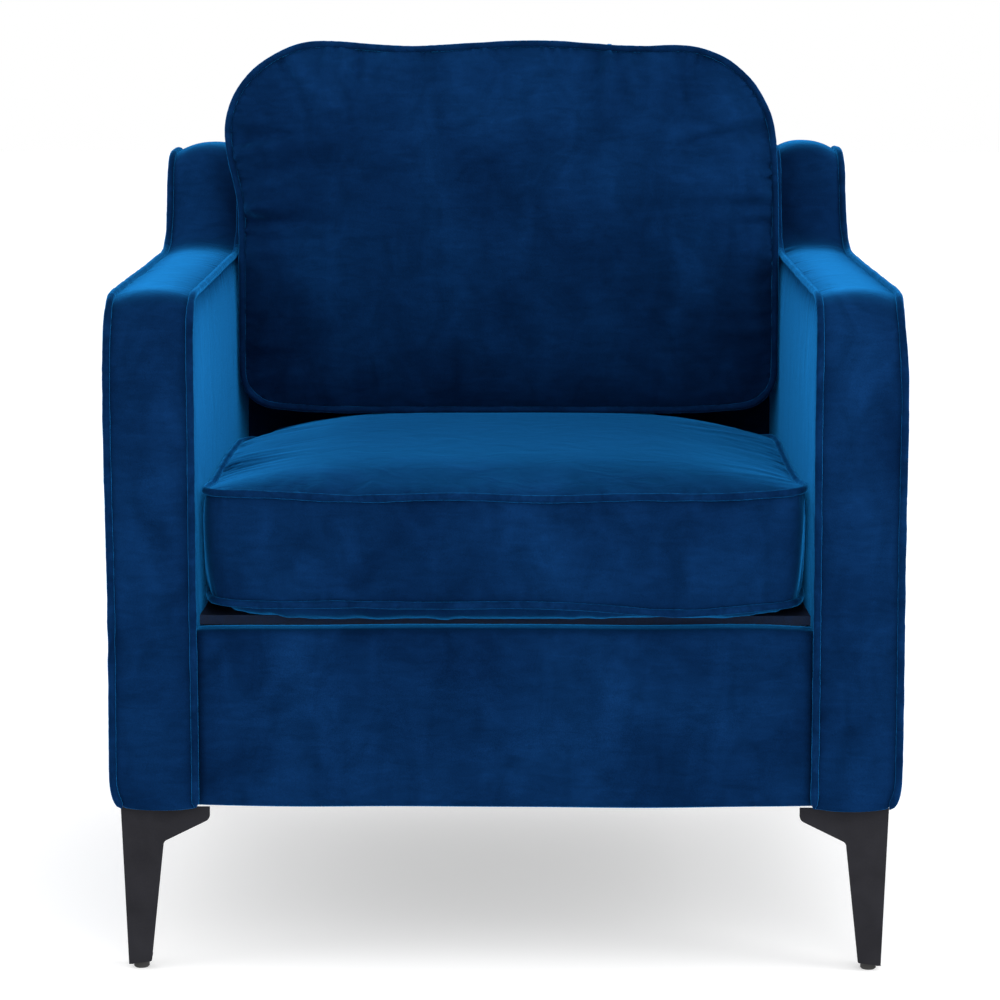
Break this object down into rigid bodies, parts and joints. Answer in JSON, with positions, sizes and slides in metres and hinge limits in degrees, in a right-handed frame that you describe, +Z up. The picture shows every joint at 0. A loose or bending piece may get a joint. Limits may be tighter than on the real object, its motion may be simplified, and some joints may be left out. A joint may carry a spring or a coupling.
{
  "type": "upholstered armchair",
  "caption": "Square upholstered armchair with raised rear shoulders on slim piped arms, a loose boxed seat cushion, a loose piped back cushion and folded sheet-metal legs.",
  "frame": {"origin": "on the floor, under the middle of the chair", "axes": "+Z up; the chair faces -Y; +X is the right-hand side seen from the front"},
  "size_m": [0.739, 0.739, 0.8681],
  "materials": {
    "velvet": "soft velvet pile with a strong sheen",
    "piping": "velvet-covered cord",
    "foam": "matte open-cell foam",
    "fibre_fill": "matte polyester fibre",
    "deck_cloth": "dark blue felted pad",
    "timber": "planed, unfinished",
    "plywood": "sanded, unfinished",
    "spring_steel": "drawn wire",
    "zinc_steel": "zinc plated",
    "black_steel": "satin powder coat",
    "rubber": "matte",
    "dust_cloth": "matte non-woven cloth",
    "webbing": "woven elastic",
    "zip": "matte nylon",
    "zip_metal": "satin"
  },
  "bodies": {
    "chair_frame": {"left_arm_base_rail": "timber", "left_arm_front_post": "timber", "left_arm_rear_post": "timber", "left_arm_top_rail": "timber", "left_arm_inner_panel": "plywood", "left_arm_outer_panel": "plywood", "left_arm_padding": "foam", "left_arm_cover": "velvet", "left_arm_inner_welt": "piping", "left_arm_outer_welt": "piping", "right_arm_base_rail": "timber", "right_arm_front_post": "timber", "right_arm_rear_post": "timber", "right_arm_top_rail": "timber", "right_arm_inner_panel": "plywood", "right_arm_outer_panel": "plywood", "right_arm_padding": "foam", "right_arm_cover": "velvet", "right_arm_inner_welt": "piping", "right_arm_outer_welt": "piping", "seat_front_rail": "timber", "seat_rear_rail": "timber", "seat_left_rail": "timber", "seat_right_rail": "timber", "corner_blocks": "timber", "seat_springs": "spring_steel", "spring_clips": "spring_steel", "front_rail_cover": "velvet", "front_rail_padding": "foam", "deck_pad": "deck_cloth", "dust_cover": "dust_cloth", "back_left_stile": "timber", "back_right_stile": "timber", "back_straps": "webbing", "back_padding": "foam", "back_cover": "velvet", "back_top_rail": "timber", "back_lower_rail": "timber", "front_left_leg": "black_steel", "front_right_leg": "black_steel", "rear_left_leg": "black_steel", "rear_right_leg": "black_steel", "glides": "rubber", "leg_screws": "zinc_steel", "frame_bolts": "zinc_steel"},
    "seat_cushion": {"seat_cushion_foam": "foam", "seat_cushion_cover": "velvet", "seat_cushion_bottom_welt": "piping", "seat_cushion_top_welt": "piping", "seat_cushion_zipper": "zip"},
    "back_cushion": {"back_cushion_fill": "fibre_fill", "back_cushion_cover": "velvet", "back_cushion_rear_welt": "piping", "back_cushion_front_welt": "piping", "back_cushion_zipper": "zip"},
    "seat_zip_slider": {"seat_zip_slider": "zip_metal"},
    "back_zip_slider": {"back_zip_slider": "zip_metal"}
  },
  "joints": [
    {"name": "seat_cushion_pull_out", "type": "slide", "parent": "chair_frame", "child": "seat_cushion", "axis": [0, -1, 0], "range_m": [0, 0.28]},
    {"name": "back_cushion_lift_off", "type": "slide", "parent": "chair_frame", "child": "back_cushion", "axis": [0, 0.0872, 0.9962], "range_m": [0, 0.28]},
    {"name": "seat_zip", "type": "slide", "parent": "seat_cushion", "child": "seat_zip_slider", "axis": [1, 0, 0], "range_m": [0, 0.46]},
    {"name": "back_zip", "type": "slide", "parent": "back_cushion", "child": "back_zip_slider", "axis": [1, 0, 0], "range_m": [0, 0.42]}
  ]
}
